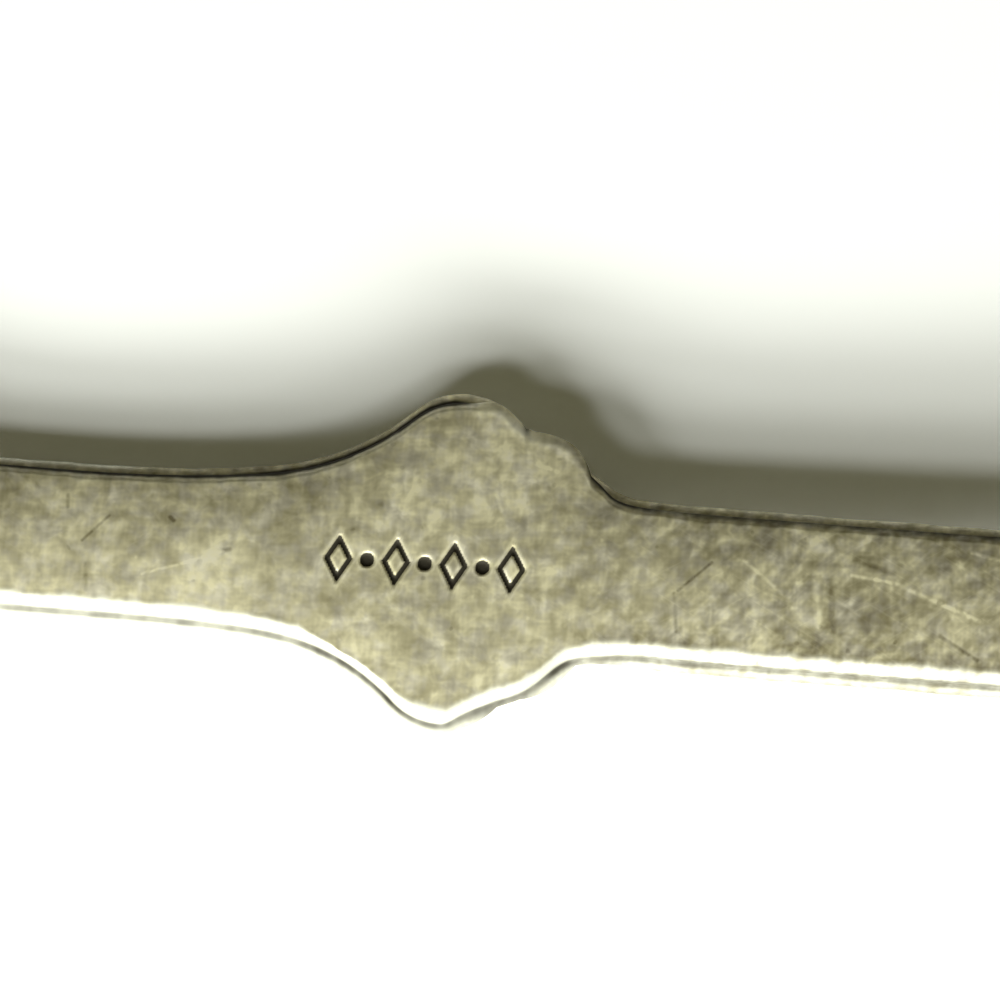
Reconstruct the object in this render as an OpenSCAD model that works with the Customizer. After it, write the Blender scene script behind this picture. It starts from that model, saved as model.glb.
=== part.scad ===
// A small plated table spoon that lies face down, so the backs of the bowl and the handle look up.
// X runs from the tip of the bowl to the end of the handle, Z is up from the table, sizes are in mm.
// Distance along the spoon, u, is counted from the tip of the bowl.

/* [Bowl] */
// Length of the bowl, from its tip to its heel
bowl_len = 38; // [32:0.5:46]
// Width of the bowl over its rim
bowl_w = 24; // [20:0.5:30]
// Distance from the tip to the widest place of the bowl
bowl_widest = 20; // [16:0.5:24]
// Depth of the hollow under the rim
bowl_depth = 6.4; // [4:0.2:9]
// Thickness of the bowl at its deepest place
bowl_wall = 0.9; // [0.7:0.05:1.4]
// Width of the flat land that runs round the rim
rim_land = 0.7; // [0.4:0.05:1.2]
// Thickness of the rim at its edge
rim_t = 0.6; // [0.4:0.05:0.9]
// Roundness of the bowl: 2 is a paraboloid, more is a flatter floor with steeper sides
bowl_power = 2.2; // [1.8:0.1:3]

/* [Neck] */
// Height of the back above the rim where the bowl starts to turn into the neck
heel_h = 2.4; // [1.6:0.05:3]
// Width of the neck at its narrowest place
neck_w = 4.5; // [3.6:0.1:5.4]
// Height of the back above the flange at the neck
neck_h = 1.5; // [1:0.05:2]
// How far before the heel the bowl's edge starts to turn into the neck
neck_before = 4; // [3:0.5:6]
// How far past the heel the neck is narrowest
neck_after = 5; // [3:0.5:8]
// Length over which the neck thins down to the shank
neck_taper = 14; // [8:0.5:18]

/* [Handle] */
// Length of the handle, from the heel of the bowl to its end
handle_len = 80; // [70:1:100]
// Width of the shank between the neck and the ornament, over its flange
shank_w = 5.1; // [4.6:0.05:6]
// Width of the shank between the ornament and the end, over its flange
stem_w = 5.35; // [4.8:0.05:6.2]
// Height of the back above the flange
body_h = 0.8; // [0.6:0.05:1.4]
// Radius of the rounded edge of the back
shoulder_r = 0.4; // [0.15:0.05:0.5]
// Thickness of the flange that the front's border makes
flange_t = 0.45; // [0.3:0.05:0.8]
// How far the flange stands out past the back on the far side
flange_far = 0.4; // [0.2:0.05:0.5]
// How far the flange stands out past the back on the near side
flange_near = 0.25; // [0.15:0.05:0.4]
// How far the flange stands out past the back at the far lobes
flange_lobes = 0.12; // [0.06:0.02:0.2]
// Width of the raised border on the front
border_w = 0.6; // [0.3:0.05:0.9]
// Depth of the sunk field inside the border
field_depth = 0.15; // [0.05:0.05:0.25]
// Width of the handle's end
end_w = 8.4; // [6:0.2:12]
// Length over which the stem widens to the end
end_flare = 12; // [8:0.5:14]
// Length of the rounded tip of the handle
end_round = 6; // [3:0.5:8]

/* [Ornament] */
// Distance from the heel of the bowl to the middle of the ornament
orn_from_heel = 39; // [32:0.5:46]
// Radius of the large lobe on each side
lobe_r = 2.24; // [2.1:0.02:2.4]
// Distance of the large lobe's centre from the ornament's own middle line
lobe_y = 3.24; // [3.1:0.02:3.4]
// Distance of the large lobe's centre past the middle of the ornament
lobe_x = 0.38; // [0.3:0.02:0.5]
// Radius of the small lobe on each side
small_r = 1.98; // [1.9:0.02:2.1]
// Distance of the small lobe's centre from the ornament's own middle line
small_y = 2.4; // [2.3:0.02:2.5]
// Distance of the small lobe's centre past the middle of the ornament
small_x = 2.6; // [2.5:0.02:2.7]
// Angle, back from the large lobe's crown, at which the long curve of the shank meets it
meet_angle = 43; // [38:0.5:50]
// Distance before the middle at which the shank starts to widen
flare_start = 12; // [9:0.5:14]
// Distance before the middle at which the widening turns steep
flare_turn = 6; // [5:0.5:7]
// Half-width of the shank where the widening turns steep
flare_turn_y = 2.78; // [2.7:0.02:2.9]
// Distance past the middle at which the stem has its own width again
flare_end = 7; // [6.5:0.1:8]
// How far the ornament stands off the shank's middle line, towards the far side
orn_shift = 0.3; // [0:0.05:0.5]

/* [Relief on the front] */
// Height of the leaves above the front's border, on which the handle rests
relief_h = 0.95; // [0.8:0.05:1.1]
// Distance before the middle of the ornament of the boss that the leaves spring from
boss_x = 2.6; // [2:0.1:3.2]
// Radius of the boss
boss_r = 1.1; // [0.9:0.05:1.3]
// Radius of a leaf at its root
root_r = 0.4; // [0.3:0.05:0.6]
// Radius of the leaf in each large lobe, at its broad end
large_leaf_r = 1.25; // [0.9:0.05:1.3]
// Radius of the leaf in each small lobe, at its broad end
small_leaf_r = 0.9; // [0.7:0.05:1]
// Radius of the leaf along the stem, at its broad end
stem_leaf_r = 0.9; // [0.6:0.05:1]
// Length of the leaf along the stem, from the boss
stem_leaf_len = 7.2; // [6:0.1:8]
// Length of the leaf back along the shank, from the boss
shank_leaf_len = 4.2; // [3:0.1:5]

/* [How it lies] */
// Height of the rim at the heel of the bowl
heel_lift = 3.2; // [2:0.1:5]
// Height of the underside at the neck
neck_lift = 3.6; // [2.5:0.1:5]
// Height of the underside at the handle's end
end_lift = 4.6; // [2:0.1:7]
// Length of the straight shank before the middle of the ornament
straight_before = 14; // [10:0.5:16]
// Length of the straight stem past the middle of the ornament
straight_after = 18; // [15:0.5:20]
// How much the straight part rises towards the end, per millimetre at the ornament
handle_tilt = 0.045; // [0.03:0.005:0.06]

/* [Hidden] */
total_len = bowl_len + handle_len;
neck_u = bowl_len + neck_after;
orn_u = bowl_len + orn_from_heel;
end_u = total_len - end_round;

// Radius that breaks the sharp edges of the rim and the flange
edge_r = 0.1;
// Width of the slope between the border and the sunk field
field_slope = 0.2;
// Shares of the half-width that hold an edge, a back or land, a hollow and a shoulder in bounds,
// where the section narrows towards a tip
edge_share = 0.15;
land_share = 0.5;
inner_share = 0.4;
// Share of the back's height that its shoulder takes at most
shoulder_share = 0.9;
// Length over which the back rounds down to the handle's end, and the share of its height that stays
back_round = 1;
least_rise = 0.2;
// Angle at which the two rounded tips stop, which leaves a short straight edge at each end
tip_angle = 4;
end_reach = end_round / cos(tip_angle);

function mix(a, b, t) = a + (b - a) * t;
function ease(t) = let (c = min(1, max(0, t))) c * c * (3 - 2 * c);

// A smooth curve through knots [u, value, slope]
function curve(a, b, u) =
    let (h = b[0] - a[0], t = (u - a[0]) / h, s = 1 - t)
    s * s * (a[1] * (1 + 2 * t) + h * a[2] * t) + t * t * (b[1] * (1 + 2 * s) - h * b[2] * s);
function span(knots, u, i = 0) =
    i >= len(knots) - 2 || u < knots[i + 1][0] ? i : span(knots, u, i + 1);
function guide(knots, u) =
    u <= knots[0][0] ? knots[0][1]
    : u >= knots[len(knots) - 1][0] ? knots[len(knots) - 1][1]
    : let (i = span(knots, u)) curve(knots[i], knots[i + 1], u);

// The bowl in plan: two half ellipses that meet at its widest place
function bowl_side(u) = u < bowl_widest ? bowl_widest / cos(tip_angle) : bowl_len - bowl_widest;
function bowl_half(u) = bowl_w / 2 * sqrt(max(0, 1 - pow((u - bowl_widest) / bowl_side(u), 2)));
function bowl_half_slope(u) =
    -pow(bowl_w / 2 / bowl_side(u), 2) * (u - bowl_widest) / bowl_half(u);

// The ornament in plan: a long curve, a large lobe, a small lobe and a short curve
function lobe_half(x) = lobe_y + sqrt(max(0, lobe_r * lobe_r - pow(x - lobe_x, 2)));
function small_half(x) = small_y + sqrt(max(0, small_r * small_r - pow(x - small_x, 2)));
meet_x = lobe_x - lobe_r * sin(meet_angle);
lobe_gap = norm([small_x - lobe_x, small_y - lobe_y]);
lobe_turn = atan2(small_y - lobe_y, small_x - lobe_x)
    + acos((lobe_gap * lobe_gap + lobe_r * lobe_r - small_r * small_r) / (2 * lobe_gap * lobe_r));
cusp_x = lobe_x + lobe_r * cos(lobe_turn);
// Share of the small lobe's radius, past its centre, at which the short curve takes over
small_reach = 0.94;
exit_x = small_x + small_reach * small_r;
// Slopes of the plan where the curves change over
turn_slope = 0.1;
exit_slope = -0.6;
long_curve = [
    [-flare_start, shank_w / 2, 0],
    [-flare_turn, flare_turn_y, turn_slope],
    [meet_x, lobe_y + lobe_r * cos(meet_angle), tan(meet_angle)]
];
short_curve = [
    [exit_x, small_half(exit_x), exit_slope],
    [flare_end, stem_w / 2, 0]
];
function ornament_half(x) =
    x < meet_x ? guide(long_curve, x)
    : x < cusp_x ? lobe_half(x)
    : x < exit_x ? small_half(x)
    : guide(short_curve, x);

// Half-width of the whole outline
neck_start = bowl_len - neck_before;
neck_curve = [
    [neck_start, bowl_half(neck_start), bowl_half_slope(neck_start)],
    [neck_u, neck_w / 2, 0],
    [orn_u - flare_start, shank_w / 2, 0]
];
end_curve = [
    [end_u - end_flare, stem_w / 2, 0],
    [end_u, end_w / 2, 0]
];
function outline(u) =
    u < neck_start ? bowl_half(u)
    : u < orn_u - flare_start ? guide(neck_curve, u)
    : u < orn_u + flare_end ? ornament_half(u - orn_u)
    : u < end_u ? guide(end_curve, u)
    : end_w / 2 * sqrt(max(0, 1 - pow((u - end_u) / end_reach, 2)));

// On the far side the flange nearly goes at the lobes, over these lengths before and after them
ledge_fade = 1.2;
ledge_back = 0.8;
far_ledge = [
    [lobe_x, flange_far, 0],
    [lobe_x + ledge_fade, flange_lobes, 0],
    [exit_x - ledge_fade / 2, flange_lobes, 0],
    [exit_x + ledge_back, flange_far, 0]
];
// On the near side the back passes the lobes inside the outline.
// Knots are [distance past the large lobe's crown, fall from the crown, slope].
lobe_top = lobe_y + lobe_r;
near_falls = [
    [0.72, 0.37, -0.6],
    [1.62, 0.82, -0.46],
    [2.57, 1.24, -0.6],
    [3.12, 1.67, -0.85],
    [3.82, 2.18, -0.5]
];
near_past_lobes = concat(
    [[lobe_x, lobe_top - flange_near, 0]],
    [for (k = near_falls) [lobe_x + k[0], lobe_top - flange_near - k[1], k[2]]],
    [[flare_end, stem_w / 2 - flange_near, 0]]
);
// Half-width of the back on the far side (1) or the near side (-1)
function back_half(u, side) =
    let (x = u - orn_u)
    side > 0 ? outline(u) - guide(far_ledge, x)
    : x > lobe_x && x < flare_end ? guide(near_past_lobes, x)
    : outline(u) - flange_near;

// How far the section stands off the middle line, as shares of the ornament's own shift.
// Knots are [u, share, slope]: it holds past the small lobe's middle, peaks, falls and ends.
shift_hold = 0.4;
shift_peak = 0.3;
shift_fall = 0.9;
shift_end = 1.6;
shift_curve = [
    [orn_u - flare_start, 0.13, 0],
    [orn_u - flare_turn, 0.5, 0.083],
    [orn_u + meet_x, 1, 0],
    [orn_u + small_x + shift_hold, 1.03, 0.067],
    [orn_u + exit_x - shift_peak, 1.33, 0],
    [orn_u + exit_x + shift_fall, 0.67, -0.4],
    [orn_u + flare_end + shift_end, 0.17, 0]
];

// Distance past the neck at which the handle's arch is highest
arch_after = 2;
// How far the border lies under or over the relief's height, before, at and past the ornament
shank_under = 0.33;
orn_over = 0.1;
stem_over = 0.91;
// How far the ornament's back is quite flat, before and past the ornament's middle
flat_before = 3;
flat_after = 4.5;
// Slopes of the underside at the tip, the heel, past the ornament and at the end
tip_slope = 0.06;
heel_slope = 0.12;
stem_slope = 0.06;
end_slope = 0.16;
// Height of the rim and of the front's border above the table, as knots [u, height, slope]
lie_curve = [
    [0, 0, tip_slope],
    [bowl_len, heel_lift, heel_slope],
    [neck_u + arch_after, neck_lift, 0],
    [orn_u - straight_before, relief_h - shank_under, 0],
    [orn_u - flat_before, relief_h + orn_over - flat_before * handle_tilt, handle_tilt],
    [orn_u + flat_after, relief_h + orn_over + flat_after * handle_tilt, handle_tilt],
    [orn_u + straight_after, relief_h + stem_over, stem_slope],
    [total_len, end_lift, end_slope]
];
function underside(u) = guide(lie_curve, u);

// Height of the back above the flange, and its slope where the neck starts
heel_fall = -0.06;
back_curve = [
    [neck_start, heel_h, heel_fall],
    [neck_u, neck_h, 0],
    [neck_u + neck_taper, body_h, 0]
];
function back_rise(u) =
    let (t = (u - total_len + back_round) / back_round)
    guide(back_curve, u) * (t < 0 ? 1 : max(least_rise, sqrt(max(0, 1 - t * t))));

// Share of the section that is handle rather than bowl
function handle_share(u) = ease((u - neck_start + neck_before) / (neck_u - neck_start + neck_before));

// The relief: a boss and a spray of leaves, one in each lobe, one along the stem, and a calyx
// on the side of the shank. A leaf is [tip, radius at the tip], with the boss at [0, 0].
// Its crowns are worn level where they touch the table.
// How far the calyx reaches to each side
calyx_out = 1.54;
large_tip = [boss_x + lobe_x, lobe_y + lobe_r - border_w - large_leaf_r];
small_tip = [boss_x + small_x, small_y + small_r - border_w - small_leaf_r];
calyx_tip = [-boss_r, calyx_out];
leaves = concat(
    [for (side = [-1, 1]) each [
        [[large_tip[0], side * large_tip[1]], large_leaf_r],
        [[small_tip[0], side * small_tip[1]], small_leaf_r],
        [[calyx_tip[0], side * calyx_tip[1]], root_r]
    ]],
    [[[stem_leaf_len, 0], stem_leaf_r], [[-shank_leaf_len, 0], root_r]]
);
function round_rise(d, r) = d < r ? sqrt(1 - d * d / r / r) : 0;
function leaf_rise(p, leaf) =
    let (t = min(1, max(0, p * leaf[0] / (leaf[0] * leaf[0]))))
    round_rise(norm(p - t * leaf[0]), mix(root_r, leaf[1], t));
function relief(x, y) =
    let (p = [x + boss_x, y])
    max(round_rise(norm(p), boss_r), max([for (leaf = leaves) leaf_rise(p, leaf)]));

// Half a section of the bowl, from the middle of its back round the rim to the middle of its hollow
back_steps = 9;
hollow_steps = 12;
function dome(s) = max(0, 1 - pow(min(1, abs(s)), bowl_power));
function bowl_section(u, w) =
    let (
        z = underside(u),
        inner = max(w - rim_land, w * inner_share),
        r = min(edge_r, w * edge_share),
        back = (bowl_depth + bowl_wall - rim_t) * dome((u - bowl_widest) / bowl_side(u)),
        hollow = bowl_depth * dome((u - bowl_widest) / (bowl_side(u) - rim_land))
    )
    concat(
        [for (j = [0:back_steps - 1]) let (s = sin(90 * j / back_steps))
            [(w - r) * s, z + rim_t + back * dome(s)]],
        [[w - r, z + rim_t], [w, z + rim_t - r], [w, z + r], [w - r, z], [inner, z]],
        [for (j = [1:hollow_steps]) let (s = cos(90 * j / hollow_steps)) [inner * s, z + hollow * dome(s)]]
    );

// Half a section of the handle, point for point beside the bowl's
flat_steps = 4;
shoulder_steps = 4;
function handle_section(u, side) =
    let (
        z = underside(u),
        w = outline(u),
        r = min(edge_r, w * edge_share),
        b = max(back_half(u, side), w * land_share),
        sr = min(shoulder_r, b * inner_share, back_rise(u) * shoulder_share),
        top = z + flange_t + back_rise(u),
        land = max(w - border_w, w * land_share),
        field = max(land - field_slope, w * inner_share)
    )
    concat(
        [for (j = [0:flat_steps - 1]) [(b - sr) * j / (flat_steps - 1), top]],
        [for (j = [1:shoulder_steps]) let (a = 90 * j / shoulder_steps)
            [b - sr + sr * sin(a), top - sr + sr * cos(a)]],
        [[b, z + flange_t], [w - r, z + flange_t], [w, z + flange_t - r], [w, z + r],
            [w - r, z], [land, z]],
        [for (j = [1:hollow_steps]) let (y = field * (hollow_steps - j) / (hollow_steps - 1))
            [y, mix(z + field_depth, max(0, z - relief_h), relief(u - orn_u, y))]]
    );

// The whole section at u, as points in space, round the far side first
function half_section(u, side) =
    let (m = handle_share(u), a = bowl_section(u, outline(u)), b = handle_section(u, side))
    [for (j = [0:len(a) - 1]) mix(a[j], b[j], m)];
function section(u) =
    let (
        shift = orn_shift * guide(shift_curve, u),
        far = half_section(u, 1),
        near = half_section(u, -1),
        n = len(far)
    )
    concat(
        [for (p = far) [u - total_len / 2, shift + p[0], p[1]]],
        [for (j = [n - 2:-1:1]) [u - total_len / 2, shift - near[j][0], near[j][1]]]
    );

// Places of the sections: close together where the plan turns, with one on each cusp
function steps(a, b, n) = [for (i = [0:n - 1]) a + (b - a) * i / n];
function arc_steps(middle, r, from, to, n) = [for (i = [0:n - 1]) middle - r * cos(mix(from, to, i / n))];
function lobe_angle(x, middle, r) = acos((middle - x) / r);
large_angles = [lobe_angle(meet_x, lobe_x, lobe_r), lobe_angle(cusp_x, lobe_x, lobe_r)];
small_angles = [lobe_angle(cusp_x, small_x, small_r), lobe_angle(exit_x, small_x, small_r)];
stations = concat(
    arc_steps(bowl_widest, bowl_side(0), tip_angle, 90, 12),
    steps(bowl_widest, neck_start, 8),
    steps(neck_start, neck_u, 8),
    steps(neck_u, orn_u - flare_start, 7),
    steps(orn_u - flare_start, orn_u - flare_turn, 6),
    steps(orn_u - flare_turn, orn_u + meet_x, 9),
    arc_steps(orn_u + lobe_x, lobe_r, large_angles[0], large_angles[1], 10),
    arc_steps(orn_u + small_x, small_r, small_angles[0], small_angles[1], 6),
    steps(orn_u + exit_x, orn_u + flare_end, 7),
    steps(orn_u + flare_end, end_u - end_flare, 7),
    steps(end_u - end_flare, end_u, 6),
    [for (i = [0:8]) end_u + end_reach * sin(i * (90 - tip_angle) / 8)]
);

// The spoon is one piece, struck from one blank: one skin through all its sections,
// closed at each tip round a point in the middle of the edge
module spoon() {
    rings = [for (u = stations) section(u)];
    n = len(rings[0]);
    last = len(rings) - 1;
    middles = [
        [-total_len / 2, 0, underside(0) + rim_t / 2],
        [total_len / 2, 0, underside(total_len) + flange_t / 2]
    ];
    points = concat([for (ring = rings) each ring], middles);
    skin = [for (i = [0:last - 1], j = [0:n - 1]) let (k = (j + 1) % n, p = i * n, q = p + n)
        each [[p + j, q + k, q + j], [p + j, p + k, q + k]]];
    tips = [for (j = [0:n - 1]) let (k = (j + 1) % n, q = last * n)
        each [[j, n * (last + 1), k], [q + j, q + k, n * (last + 1) + 1]]];
    color("tan") polyhedron(points, concat(skin, tips), convexity = 6);
}

spoon();
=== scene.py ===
import math

import bpy
import numpy as np
from mathutils import Matrix, Vector


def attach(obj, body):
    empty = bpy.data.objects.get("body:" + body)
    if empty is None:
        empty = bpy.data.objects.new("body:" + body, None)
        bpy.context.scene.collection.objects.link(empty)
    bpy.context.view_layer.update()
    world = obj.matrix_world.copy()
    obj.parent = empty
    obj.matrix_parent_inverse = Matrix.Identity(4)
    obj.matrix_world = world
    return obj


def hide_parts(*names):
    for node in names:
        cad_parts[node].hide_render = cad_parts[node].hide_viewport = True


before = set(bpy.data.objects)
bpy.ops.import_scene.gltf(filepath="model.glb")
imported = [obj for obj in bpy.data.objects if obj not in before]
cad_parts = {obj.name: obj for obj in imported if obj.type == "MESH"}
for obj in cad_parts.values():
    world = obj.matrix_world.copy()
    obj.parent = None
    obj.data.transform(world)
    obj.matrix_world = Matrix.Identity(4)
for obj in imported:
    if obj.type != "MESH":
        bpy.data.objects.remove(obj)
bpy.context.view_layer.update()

MM = 0.001

# The spoon's sizes, in millimetres, as its solid has them
BOWL_LEN, BOWL_W, BOWL_WIDEST = 38.0, 24.0, 20.0
BOWL_DEPTH, BOWL_WALL, BOWL_POWER = 6.4, 0.9, 2.2
RIM_LAND, RIM_T = 0.7, 0.6
HEEL_H, NECK_W, NECK_H = 2.4, 4.5, 1.5
NECK_BEFORE, NECK_AFTER, NECK_TAPER = 4.0, 5.0, 14.0
HANDLE_LEN, SHANK_W, STEM_W = 80.0, 5.1, 5.35
BODY_H, BEVEL_W, BEVEL_H, FLANGE_T = 0.8, 0.38, 0.27, 0.45
LEDGE_FAR, LEDGE_NEAR, LEDGE_LOBES = 0.4, 0.25, 0.12
BORDER_W, FIELD_DEPTH, FIELD_SLOPE = 0.6, 0.15, 0.2
END_W, END_FLARE, END_ROUND, BACK_ROUND = 8.4, 12.0, 6.0, 1.0
ORN_FROM_HEEL, ORN_SHIFT = 39.0, 0.3
LOBE_R, LOBE_Y, LOBE_X = 2.24, 3.24, 0.38
SMALL_R, SMALL_Y, SMALL_X = 1.98, 2.4, 2.6
MEET_ANGLE, FLARE_START, FLARE_TURN, FLARE_TURN_Y, FLARE_END = 43.0, 12.0, 6.0, 2.78, 7.0
RELIEF_H, BOSS_X, BOSS_R, ROOT_R = 0.95, 2.6, 1.1, 0.4
LARGE_LEAF_R, SMALL_LEAF_R, STEM_LEAF_R = 1.25, 0.9, 0.9
STEM_LEAF_LEN, SHANK_LEAF_LEN = 7.2, 4.2
HEEL_LIFT, NECK_LIFT, NECK_CREST, END_LIFT = 3.2, 3.6, 2.0, 4.6
SHANK_LIFT, ORN_LIFT, STEM_LIFT, HANDLE_TILT = 0.62, 1.05, 1.78, 0.045
STRAIGHT_BEFORE, STRAIGHT_AFTER, FLAT_BEFORE, FLAT_AFTER = 14.0, 18.0, 3.0, 4.5
EDGE_R, TIP_ANGLE = 0.1, 4.0

TOTAL = BOWL_LEN + HANDLE_LEN
NECK_START = BOWL_LEN - NECK_BEFORE
NECK_U = BOWL_LEN + NECK_AFTER
ORN_U = BOWL_LEN + ORN_FROM_HEEL
END_U = TOTAL - END_ROUND
END_REACH = END_ROUND / math.cos(math.radians(TIP_ANGLE))
LEDGE_Z = ORN_LIFT + FLANGE_T
ORN_X = ORN_U - TOTAL / 2

# Height of the rim and of the front's border above the table, as (u, height, slope)
LIE_CURVE = [
    (0, 0, 0.06),
    (BOWL_LEN, HEEL_LIFT, 0.12),
    (NECK_U + NECK_CREST, NECK_LIFT, 0),
    (ORN_U - STRAIGHT_BEFORE, SHANK_LIFT, 0),
    (ORN_U - FLAT_BEFORE, ORN_LIFT - FLAT_BEFORE * HANDLE_TILT, HANDLE_TILT),
    (ORN_U + FLAT_AFTER, ORN_LIFT + FLAT_AFTER * HANDLE_TILT, HANDLE_TILT),
    (ORN_U + STRAIGHT_AFTER, STEM_LIFT, 0.06),
    (TOTAL, END_LIFT, 0.16),
]

# How the photograph was taken: pixels of its 1000 x 1000 frame, and the scale along the spoon
PX_PER_MM = 32.0
IMAGE_MIDDLE = (500.0, 500.0)
ORNAMENT_PX = (440.0, 570.0)
AXIS_TURN = math.radians(4.89)
CAMERA_TILT = math.radians(77.0)
CAMERA_FAR = 200.0
SENSOR = 36.0
CLIP_START, CLIP_END = 0.005, 20


def make_camera():
    """The photograph's camera: above the back, from the near side, turned a little."""
    right, up = Vector((1, 0, 0)), Vector((0, math.sin(CAMERA_TILT), math.cos(CAMERA_TILT)))
    back = Vector((0, -math.cos(CAMERA_TILT), math.sin(CAMERA_TILT)))
    c, s = math.cos(AXIS_TURN), math.sin(AXIS_TURN)
    image_right, image_up = c * right + s * up, c * up - s * right
    dx = (IMAGE_MIDDLE[0] - ORNAMENT_PX[0]) / PX_PER_MM
    dy = (ORNAMENT_PX[1] - IMAGE_MIDDLE[1]) / PX_PER_MM
    start = Vector((ORN_X, 0, LEDGE_Z))
    target = start + image_right * dx + image_up * dy
    data = bpy.data.cameras.new("camera")
    data.sensor_width = SENSOR
    data.lens = SENSOR * CAMERA_FAR / (2 * IMAGE_MIDDLE[0] / PX_PER_MM)
    data.clip_start, data.clip_end = CLIP_START, CLIP_END
    cam = bpy.data.objects.new("camera", data)
    turn = Matrix((image_right, image_up, back)).transposed().to_4x4()
    cam.matrix_world = Matrix.Translation((target + back * CAMERA_FAR) * MM) @ turn
    bpy.context.scene.collection.objects.link(cam)
    bpy.context.scene.camera = cam


def photo_to_plan(px, py):
    """Where a point of the photograph lies on the plane of the back, in u and y."""
    dx, dy = (px - ORNAMENT_PX[0]) / PX_PER_MM, (ORNAMENT_PX[1] - py) / PX_PER_MM
    c, s = math.cos(AXIS_TURN), math.sin(AXIS_TURN)
    u = ORN_U + c * dx - s * dy
    high = float(guide(LIE_CURVE, u)) + FLANGE_T + BODY_H - LEDGE_Z
    return u, (s * dx + c * dy - high * math.cos(CAMERA_TILT)) / math.sin(CAMERA_TILT)


def mix(a, b, t):
    return a + (b - a) * t


def ease(t):
    t = np.clip(t, 0, 1)
    return t * t * (3 - 2 * t)


def bump(x, middle, width):
    return np.exp(-(((x - middle) / width) ** 2))


def guide(knots, u):
    """A smooth curve through knots (u, value, slope), held level past both ends."""
    k = np.array(knots, float)
    u = np.clip(u, k[0, 0], k[-1, 0])
    i = np.clip(np.searchsorted(k[:, 0], u, side="right") - 1, 0, len(k) - 2)
    a, b = k[i], k[i + 1]
    h = b[..., 0] - a[..., 0]
    t = (u - a[..., 0]) / h
    s = 1 - t
    low = a[..., 1] * (1 + 2 * t) + h * a[..., 2] * t
    high = b[..., 1] * (1 + 2 * s) - h * b[..., 2] * s
    return s * s * low + t * t * high


def root(v):
    return np.sqrt(np.maximum(v, 0))


WAVE_PARTS, WAVE_SIZE, WAVE_POWER = (1.0, 0.57, 0.31, 0.17), 0.45, 0.4


def wobble(u, seed, longest):
    """Uneven waves along the spoon, about -1 to 1, of several lengths up to the longest."""
    draw = np.random.default_rng(seed)
    total = 0 * u
    for part in WAVE_PARTS:
        wave = np.sin(2 * np.pi * (u / (longest * part) + draw.random()))
        total = total + WAVE_SIZE * part**WAVE_POWER * wave
    return total


# The plan of the bowl
TIP_REACH = BOWL_WIDEST / math.cos(math.radians(TIP_ANGLE))


def bowl_side(u):
    return np.where(u < BOWL_WIDEST, TIP_REACH, BOWL_LEN - BOWL_WIDEST)


def bowl_half(u):
    return BOWL_W / 2 * root(1 - ((u - BOWL_WIDEST) / bowl_side(u)) ** 2)


def bowl_half_slope(u):
    return -((BOWL_W / 2 / bowl_side(u)) ** 2) * (u - BOWL_WIDEST) / bowl_half(u)


# The plan of the ornament: a long curve, a large lobe, a small lobe and a short curve
def lobe_half(x):
    return LOBE_Y + root(LOBE_R**2 - (x - LOBE_X) ** 2)


def small_half(x):
    return SMALL_Y + root(SMALL_R**2 - (x - SMALL_X) ** 2)


MEET = math.radians(MEET_ANGLE)
MEET_X = LOBE_X - LOBE_R * math.sin(MEET)
LOBE_GAP = math.hypot(SMALL_X - LOBE_X, SMALL_Y - LOBE_Y)
LOBE_TURN = math.atan2(SMALL_Y - LOBE_Y, SMALL_X - LOBE_X) + math.acos(
    (LOBE_GAP**2 + LOBE_R**2 - SMALL_R**2) / (2 * LOBE_GAP * LOBE_R)
)
CUSP_X = LOBE_X + LOBE_R * math.cos(LOBE_TURN)
SMALL_REACH, TURN_SLOPE, EXIT_SLOPE = 0.94, 0.1, -0.6
EXIT_X = SMALL_X + SMALL_REACH * SMALL_R
LONG_CURVE = [
    (-FLARE_START, SHANK_W / 2, 0),
    (-FLARE_TURN, FLARE_TURN_Y, TURN_SLOPE),
    (MEET_X, LOBE_Y + LOBE_R * math.cos(MEET), math.tan(MEET)),
]
SHORT_CURVE = [(EXIT_X, float(small_half(EXIT_X)), EXIT_SLOPE), (FLARE_END, STEM_W / 2, 0)]
NECK_CURVE = [
    (NECK_START, float(bowl_half(NECK_START)), float(bowl_half_slope(NECK_START))),
    (NECK_U, NECK_W / 2, 0),
    (ORN_U - FLARE_START, SHANK_W / 2, 0),
]
END_CURVE = [(END_U - END_FLARE, STEM_W / 2, 0), (END_U, END_W / 2, 0)]


def outline(u):
    """Half-width of the spoon's outline."""
    x = u - ORN_U
    parts = [
        (u < NECK_START, bowl_half(u)),
        (x < -FLARE_START, guide(NECK_CURVE, u)),
        (x < MEET_X, guide(LONG_CURVE, x)),
        (x < CUSP_X, lobe_half(x)),
        (x < EXIT_X, small_half(x)),
        (x < FLARE_END, guide(SHORT_CURVE, x)),
        (u < END_U, guide(END_CURVE, u)),
    ]
    end = END_W / 2 * root(1 - ((u - END_U) / END_REACH) ** 2)
    return np.select([p[0] for p in parts], [p[1] for p in parts], end)


# The ledge beyond the back nearly goes at the far lobes, as (x, width, slope)
FAR_LEDGE = [
    (LOBE_X, LEDGE_FAR, 0),
    (LOBE_X + 1.2, LEDGE_LOBES, 0),
    (EXIT_X - 0.6, LEDGE_LOBES, 0),
    (EXIT_X + 0.8, LEDGE_FAR, 0),
]

# The near back passes the lobes in a smoother curve than the outline's, as (x, half-width, slope)
NEAR_PAST_LOBES = [
    (LOBE_X, LOBE_Y + LOBE_R - LEDGE_NEAR, 0),
    (1.1, 4.87, -0.6),
    (2.0, 4.42, -0.46),
    (2.95, 4.0, -0.6),
    (3.5, 3.57, -0.85),
    (4.2, 3.06, -0.5),
    (FLARE_END, STEM_W / 2 - LEDGE_NEAR, 0),
]


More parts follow.
